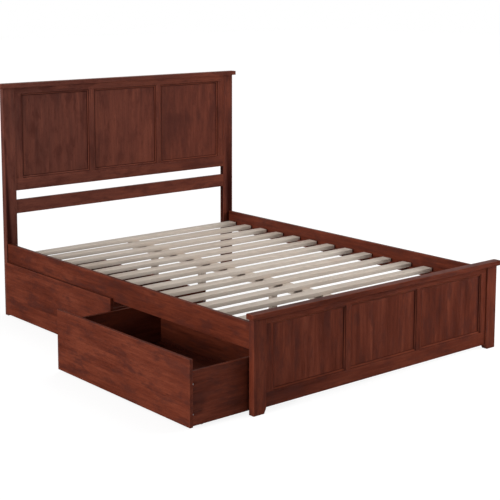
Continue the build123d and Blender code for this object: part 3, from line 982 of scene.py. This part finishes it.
@dataclass
class Deck:
    """Side rails, ledgers, centre support and the row of slats."""

    dice: random.Random
    beam_tone: float = 0.55
    leg_tone: float = 0.40
    slat_count: int = 14
    slat_width: float = 0.060
    slat_round: float = 0.001
    slat_shift: float = 0.002
    slat_turn: float = 0.0012

    def build(self, finishes: Finishes) -> None:
        """Dresses the boards and lays the slats.

        Args:
            finishes: The bed's materials.
        """
        for side in SIDES:
            for part in ("side_rail", "slat_ledger"):
                Board(f"{part}_{side}", Grain.LENGTHWISE_FACE, self.dice.random(), finishes.stained,
                      arris=ARRIS).dress()
        Board("centre_beam", Grain.LENGTHWISE, self.beam_tone, finishes.softwood).dress()
        Board("centre_legs", Grain.UPRIGHT, self.leg_tone, finishes.softwood).dress()
        for node in ("rail_hook_plates", "post_slot_plates"):
            paint_node(node, finishes.steel)
        self.lay_slats(finishes.softwood)

    def slat_mesh(self, length: float, thickness: float) -> Mesh:
        """Makes one slat at the origin.

        Args:
            length: Its length across the bed.
            thickness: Its thickness.

        Returns:
            The mesh, with rounded edges and its own fibres.
        """
        bm = bmesh.new()
        bmesh.ops.create_cube(bm, size=1.0)
        bmesh.ops.scale(bm, vec=(length, self.slat_width, thickness), verts=bm.verts)
        long_edges = [e for e in bm.edges if abs((e.verts[0].co - e.verts[1].co).x) > length / 2]
        bmesh.ops.bevel(bm, geom=long_edges, offset=self.slat_round, segments=2, profile=0.5,
                        affect="EDGES")
        ends = [face for face in bm.faces if abs(face.normal.x) > 0.9]
        rim = [e for e in bm.edges if any(face in ends for face in e.link_faces)]
        bmesh.ops.bevel(bm, geom=rim, offset=ARRIS, segments=1, profile=0.5, affect="EDGES")
        mesh = in_fixed_order(to_mesh(bm, "slat_blank"))
        smooth(mesh)
        write_fibres(mesh, Grain.ACROSS_FLAT)
        return mesh

    def lay_slats(self, finish: Material) -> None:
        """Lays the slats with a node tree, each a little out of line and of its own tone.

        Args:
            finish: Their material.
        """
        low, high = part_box("slats")
        length = high.x - low.x - 2 * self.slat_shift
        blank = bpy.data.objects.new("slat_blank", self.slat_mesh(length, high.z - low.z))
        step = (high.y - low.y - self.slat_width) / (self.slat_count - 1)
        first = Vector((0.0, low.y + self.slat_width / 2, (low.z + high.z) / 2))
        mesh = run_tree(slat_row_tree(), bpy.data.meshes.new("slat_points"), {
            "Slat": blank, "Count": self.slat_count, "First": first, "Step": Vector((0.0, step, 0.0)),
            "Shift": self.slat_shift, "Turn": self.slat_turn, "Seed": SEED, "Finish": finish,
        })
        bpy.data.objects.remove(blank)
        link_piece("slat_row", mesh, "slats")


@dataclass
class RollingDrawer:
    """A drawer on castors: face, box, bottom, screws and wheels."""

    name: str
    dice: random.Random
    screw_head: float = 0.004
    screw_shank: float = 0.002
    screw_tip: float = 0.0002
    screw_length: float = 0.038
    screw_straight: float = 0.9
    screw_sides: int = 20
    recess_reach: float = 0.0024
    recess_width: float = 0.0009
    recess_depth: float = 0.0014

    def build(self, finishes: Finishes) -> None:
        """Dresses the boards, drives the screws and paints the castors.

        Args:
            finishes: The bed's materials.
        """
        for grain, layup, parts in (
            (Grain.LENGTHWISE_FACE, Layup.STAVES, ("face", "front_wall", "back_wall")),
            (Grain.ACROSS, Layup.STAVES, ("side_foot", "side_head")),
            (Grain.LENGTHWISE, Layup.NARROW_STAVES, ("bottom",)),
        ):
            for part in parts:
                node, tone = f"{self.name}_{part}", self.dice.random()
                Board(node, grain, tone, finishes.stained, layup).dress()
        for part in ("brackets", "axles"):
            paint_node(f"{self.name}_{part}", finishes.steel)
        for corner in ("outer_foot", "outer_head", "inner_foot", "inner_head"):
            paint_node(f"{self.name}_wheel_{corner}", finishes.plastic)
        self.drive_screws(finishes.steel)

    def screw_mesh(self) -> Mesh:
        """Makes one countersunk screw, its head at the origin, facing +Z.

        Returns:
            The mesh, with no recess yet.
        """
        bm = bmesh.new()
        sides = range(self.screw_sides)
        angles = [2 * math.pi * i / self.screw_sides for i in sides]
        rings = []
        for radius, height in (
            (self.screw_head, 0.0),
            (self.screw_shank, self.screw_shank - self.screw_head),
            (self.screw_shank, -self.screw_straight * self.screw_length),
            (self.screw_tip, -self.screw_length),
        ):
            rings.append([bm.verts.new((radius * math.cos(a), radius * math.sin(a), height))
                          for a in angles])
        for upper, lower in zip(rings, rings[1:]):
            for i in sides:
                j = (i + 1) % self.screw_sides
                bm.faces.new((upper[i], lower[i], lower[j], upper[j]))
        bm.faces.new(list(reversed(rings[-1])))
        bm.faces.new(rings[0])
        return to_mesh(bm, "screw_blank")

    def recess_mesh(self) -> Mesh:
        """Makes the cross-shaped cutter of the screw's recess.

        Returns:
            The mesh, half of it above the head.
        """
        arm, half = self.recess_reach, self.recess_width / 2
        quarter = ((half, half), (half, arm), (-half, arm))
        outline = list(quarter)
        for _ in range(3):
            quarter = tuple((-y, x) for x, y in quarter)
            outline += quarter
        bm = bmesh.new()
        base = bm.faces.new([bm.verts.new((x, y, -self.recess_depth)) for x, y in outline])
        top = bmesh.ops.extrude_face_region(bm, geom=[base])
        lifted = [v for v in top["geom"] if isinstance(v, bmesh.types.BMVert)]
        bmesh.ops.translate(bm, vec=(0, 0, 2 * self.recess_depth), verts=lifted)
        return to_mesh(bm, "recess_cutter")

    def screw_blank(self) -> bpy.types.Object:
        """Makes one finished screw, its recess cut out of its head.

        Returns:
            The screw, not yet in the scene.
        """
        blank = add_object("screw_blank", self.screw_mesh())
        cutter = add_object("recess_cutter", self.recess_mesh())
        cut = blank.modifiers.new("recess", "BOOLEAN")
        cut.object = cutter
        cut.operation = "DIFFERENCE"
        cut.solver = "EXACT"
        graph = bpy.context.evaluated_depsgraph_get()
        mesh = in_fixed_order(bpy.data.meshes.new_from_object(blank.evaluated_get(graph)))
        for thing in (blank, cutter):
            bpy.data.objects.remove(thing)
        smooth(mesh)
        return bpy.data.objects.new("screw", mesh)

    def drive_screws(self, finish: Material) -> None:
        """Puts a screw where each CAD screw is, turned as a driver leaves it.

        Args:
            finish: The screws' material.
        """
        node = f"{self.name}_screws"
        low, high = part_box(node)
        centre = (low + high) / 2
        heads, outwards = [], []
        for island_low, island_high in islands(frame["nodes"][node].data):
            middle = (island_low + island_high) / 2
            far = middle.y > centre.y
            heads.append((middle.x, island_high.y if far else island_low.y, middle.z))
            outwards.append((0.0, 1.0 if far else -1.0, 0.0))
        points = bpy.data.meshes.new("screw_points")
        points.from_pydata(heads, [], [])
        facing = points.attributes.new("facing", "FLOAT_VECTOR", "POINT")
        for store, outward in zip(facing.data, outwards):
            store.vector = outward
        blank = self.screw_blank()
        mesh = run_tree(screw_row_tree(), points, {"Screw": blank, "Seed": SEED, "Finish": finish})
        bpy.data.objects.remove(blank)
        link_piece(f"{self.name}_screw_row", mesh, node)


def islands(mesh: Mesh) -> list[tuple[Vector, Vector]]:
    """Finds the separate solids of a CAD node.

    Args:
        mesh: The node's mesh of loose triangles.

    Returns:
        The lowest and highest corner of each solid.
    """
    bm = bmesh.new()
    bm.from_mesh(mesh)
    bmesh.ops.remove_doubles(bm, verts=bm.verts, dist=MERGE_REACH)
    left = set(bm.verts)
    boxes = []
    while left:
        reached = [left.pop()]
        for vertex in reached:
            for edge in vertex.link_edges:
                other = edge.other_vert(vertex)
                if other in left:
                    left.remove(other)
                    reached.append(other)
        boxes.append(corners(v.co for v in reached))
    bm.free()
    return sorted(boxes, key=lambda box: tuple(box[0]))


def random_value(graph: Graph, low: Any, high: Any, seed: Any) -> Socket:
    """Draws a number for each point or instance.

    Args:
        graph: The tree's graph.
        low: The least that it can be.
        high: The most that it can be.
        seed: The seed of the draw.

    Returns:
        The number.
    """
    node = graph.add("FunctionNodeRandomValue", {"Seed": seed}, data_type="FLOAT")
    ends = [i for i, s in enumerate(node.inputs) if s.enabled and s.name in ("Min", "Max")]
    graph.feed(node, dict(zip(ends, (low, high))))
    return next(s for s in node.outputs if s.enabled)


def finish_row(graph: Graph, row: Node, finish: Socket, end: Node) -> None:
    """Ends a tree: makes its instances real and gives them their finish.

    Args:
        graph: The tree's graph.
        row: The node that puts out the instances.
        finish: The material.
        end: The tree's output node.
    """
    real = graph.add("GeometryNodeRealizeInstances", {"Geometry": row.outputs[0]})
    inputs = {"Geometry": real.outputs[0], "Material": finish}
    graph.feed(end, {0: graph.add("GeometryNodeSetMaterial", inputs).outputs[0]})


def slat_row_tree() -> Tree:
    """Builds the tree that lays a row of slats along a line.

    Returns:
        The tree.
    """
    graph, given, end = new_tree("Slat row", TreeKind.GEOMETRY, {
        "Geometry": Kind.GEOMETRY, "Slat": Kind.OBJECT, "Count": Kind.WHOLE, "First": Kind.VECTOR,
        "Step": Kind.VECTOR, "Shift": Kind.FLOAT, "Turn": Kind.FLOAT, "Seed": Kind.WHOLE,
        "Finish": Kind.MATERIAL,
    }, {"Geometry": Kind.GEOMETRY})
    inputs = {"Count": given["Count"], "Start Location": given["First"], "Offset": given["Step"]}
    line = graph.add("GeometryNodeMeshLine", inputs, mode="OFFSET").outputs[0]
    slat = graph.add("GeometryNodeObjectInfo", {"Object": given["Slat"]}).outputs["Geometry"]
    row = graph.add("GeometryNodeInstanceOnPoints", {"Points": line, "Instance": slat})
    draws = []
    for index, name in enumerate(("Shift", "Turn")):
        seed = graph.maths("ADD", given["Seed"], float(index))
        draws.append(random_value(graph, graph.maths("MULTIPLY", given[name], -1.0), given[name], seed))
    sideways = graph.add("ShaderNodeCombineXYZ", {0: draws[0]}).outputs[0]
    inputs = {"Instances": row.outputs[0], "Translation": sideways}
    row = graph.add("GeometryNodeTranslateInstances", inputs)
    angle = graph.add("ShaderNodeCombineXYZ", {2: draws[1]}).outputs[0]
    row = graph.add("GeometryNodeRotateInstances", {"Instances": row.outputs[0], "Rotation": angle})
    tone = random_value(graph, 0.0, 1.0, graph.maths("ADD", given["Seed"], 2.0))
    row = graph.add("GeometryNodeStoreNamedAttribute", {"Geometry": row.outputs[0], "Name": "tone"},
                    data_type="FLOAT", domain="INSTANCE")
    graph.tree.links.new(tone, next(s for s in row.inputs if s.name == "Value" and s.enabled))
    finish_row(graph, row, given["Finish"], end)
    return graph.tree


def screw_row_tree() -> Tree:
    """Builds the tree that puts a screw on each point, facing outwards.

    Returns:
        The tree.
    """
    graph, given, end = new_tree("Screw row", TreeKind.GEOMETRY, {
        "Geometry": Kind.GEOMETRY, "Screw": Kind.OBJECT, "Seed": Kind.WHOLE, "Finish": Kind.MATERIAL,
    }, {"Geometry": Kind.GEOMETRY})
    points = graph.add("GeometryNodeMeshToPoints", {"Mesh": given["Geometry"]}).outputs[0]
    facing = graph.add("GeometryNodeInputNamedAttribute", {"Name": "facing"}, data_type="FLOAT_VECTOR")
    outward = next(s for s in facing.outputs if s.enabled)
    upright = graph.add("FunctionNodeAlignRotationToVector", {"Vector": outward}, axis="Z").outputs[0]
    turn = random_value(graph, 0.0, math.pi, given["Seed"])
    angle = graph.add("ShaderNodeCombineXYZ", {2: turn}).outputs[0]
    spin = graph.add("FunctionNodeEulerToRotation", {0: angle}).outputs[0]
    inputs = {"Rotation": upright, "Rotate By": spin}
    rotation = graph.add("FunctionNodeRotateRotation", inputs, rotation_space="LOCAL").outputs[0]
    screw = graph.add("GeometryNodeObjectInfo", {"Object": given["Screw"]}).outputs["Geometry"]
    inputs = {"Points": points, "Instance": screw, "Rotation": rotation}
    finish_row(graph, graph.add("GeometryNodeInstanceOnPoints", inputs), given["Finish"], end)
    return graph.tree


def run_tree(tree: Tree, mesh: Mesh, values: dict[str, Any]) -> Mesh:
    """Runs a geometry node tree once and keeps its result.

    Args:
        tree: The tree.
        mesh: The geometry that it takes.
        values: Its other inputs, by socket name.

    Returns:
        A plain mesh.
    """
    carrier = add_object("carrier", mesh)
    for value in values.values():
        if isinstance(value, bpy.types.Object):
            bpy.context.scene.collection.objects.link(value)
    modifier = carrier.modifiers.new("tree", "NODES")
    modifier.node_group = tree
    for socket in tree.interface.items_tree:
        if socket.in_out == "INPUT" and socket.name in values:
            modifier[socket.identifier] = values[socket.name]
    carrier.update_tag()
    graph = bpy.context.evaluated_depsgraph_get()
    graph.update()
    result = bpy.data.meshes.new_from_object(carrier.evaluated_get(graph), depsgraph=graph)
    carrier.modifiers.remove(modifier)
    bpy.data.objects.remove(carrier)
    return result


@dataclass(frozen=True)
class Softbox:
    """A large soft light that neither the camera nor the gloss sees."""

    name: str
    place: Place
    width: float
    height: float
    power: float

    def hang(self, target: Place) -> None:
        """Hangs the light.

        Args:
            target: Where it points.
        """
        data = bpy.data.lights.new(self.name, "AREA")
        data.shape = "RECTANGLE"
        data.size = self.width
        data.size_y = self.height
        data.energy = self.power
        lamp = add_object(self.name, data)
        lamp.visible_camera = False
        lamp.visible_glossy = False
        lamp.location = self.place
        away = Vector(target) - Vector(self.place)
        lamp.rotation_euler = away.to_track_quat("-Z", "Y").to_euler()


@dataclass
class Studio:
    """The floor, the soft light and the camera."""

    floor_size: float = 60.0
    softboxes: tuple[Softbox, ...] = (
        Softbox("left_softbox", (-16.0, -1.0, 4.6), 2.4, 6.2, 2350.0),
        Softbox("front_softbox", (3.2, -2.75, 1.5), 2.2, 1.6, 144.0),
        Softbox("fill_softbox", (-5.0, -14.0, 0.6), 4.0, 1.0, 140.0),
        Softbox("top_softbox", (0.5, 0.8, 3.0), 1.6, 1.6, 27.0),
    )
    target: Place = (0.0, 0.0, 0.4)
    white: Colour = (1.0, 1.0, 1.0, 1.0)
    backdrop: float = 1.0
    sky: float = 0.32
    mirrored_backdrop: float = 0.50
    mirrored_room: float = 0.02
    backdrop_rim: tuple[float, float] = (-0.1, 0.6)
    camera_place: Place = (-4.0156, -4.8565, 1.8060)
    camera_yaw: float = 40.10
    camera_pitch: float = -8.17
    camera_roll: float = 0.11
    camera_reach: float = 200.0
    lens: float = 88.99
    sensor: float = 36.0
    shift: float = -0.18

    def build(self, finishes: Finishes) -> None:
        """Sets the floor, the light and the camera.

        Args:
            finishes: The scene's materials.
        """
        self.lay_floor(finishes.floor)
        for softbox in self.softboxes:
            softbox.hang(self.target)
        self.light_room()
        self.set_camera()

    def lay_floor(self, finish: Material) -> None:
        """Lays a plain floor under the bed.

        Args:
            finish: Its material.
        """
        half = self.floor_size / 2
        mesh = bpy.data.meshes.new("floor")
        around = [(-half, -half, 0), (half, -half, 0), (half, half, 0), (-half, half, 0)]
        mesh.from_pydata(around, [], [(0, 1, 2, 3)])
        mesh.materials.append(finish)
        add_object("floor", mesh)

    def light_room(self) -> None:
        """Lights the room evenly, with a white backdrop that the gloss sees only behind the bed."""
        world = bpy.data.worlds.new("studio")
        world.use_nodes = True
        graph = Graph(world.node_tree)
        rays = graph.add("ShaderNodeLightPath").outputs
        towards = graph.add("ShaderNodeTexCoord").outputs["Generated"]
        inputs = {0: towards, 1: (0.0, 1.0, 0.0)}
        behind = graph.add("ShaderNodeVectorMath", inputs, operation="DOT_PRODUCT").outputs["Value"]
        mirrored = graph.span(behind, *self.backdrop_rim, self.mirrored_room, self.mirrored_backdrop)
        level: Any = self.sky
        for ray, seen in (("Is Glossy Ray", mirrored), ("Is Camera Ray", self.backdrop)):
            level = graph.add("ShaderNodeMapRange", {"Value": rays[ray], 3: level, 4: seen}).outputs[0]
        light = graph.add("ShaderNodeBackground", {"Color": self.white, "Strength": level}).outputs[0]
        graph.add("ShaderNodeOutputWorld", {"Surface": light})
        world.cycles.sampling_method = "NONE"
        bpy.context.scene.world = world

    def set_camera(self) -> None:
        """Puts the camera where the photograph was taken from."""
        data = bpy.data.cameras.new("photo_view")
        data.sensor_width = self.sensor
        data.lens = self.lens
        data.shift_y = self.shift
        data.clip_end = self.camera_reach
        camera = add_object("photo_view", data)
        angles = (self.camera_yaw, self.camera_pitch, self.camera_roll)
        yaw, pitch, roll = map(math.radians, angles)
        turn = Matrix.Rotation(-yaw, 4, "Z") @ Matrix.Rotation(math.pi / 2 + pitch, 4, "X")
        turn = turn @ Matrix.Rotation(roll, 4, "Z")
        camera.matrix_world = Matrix.Translation(self.camera_place) @ turn
        bpy.context.scene.camera = camera
        bpy.context.scene.view_settings.view_transform = "Standard"


def main() -> None:
    """Builds the bed's sub-assemblies in order and sets the studio."""
    logging.basicConfig(level=logging.INFO, format="%(name)s: %(message)s")
    finishes = make_finishes()
    dice = random.Random(SEED)
    # The headboard's painted shade is dark along its panels' tops and wider, and it has a painted
    # sheen.
    tall = PaintedShading(high=1.0, crease=0.006, painted_sheen=1.0)
    head_rails = ("cap", "top_rail", "bottom_rail", "lower_rail")
    PanelBoard("headboard", "head", head_rails, dice, tall).build(finishes)
    foot_rails = ("cap", "top_rail", "bottom_rail")
    PanelBoard("footboard", "foot", foot_rails, dice, PaintedShading()).build(finishes)
    Deck(dice).build(finishes)
    for name in ("front_drawer", "rear_drawer"):
        RollingDrawer(name, dice).build(finishes)
    Studio().build(finishes)


if __name__ == "__main__":
    main()
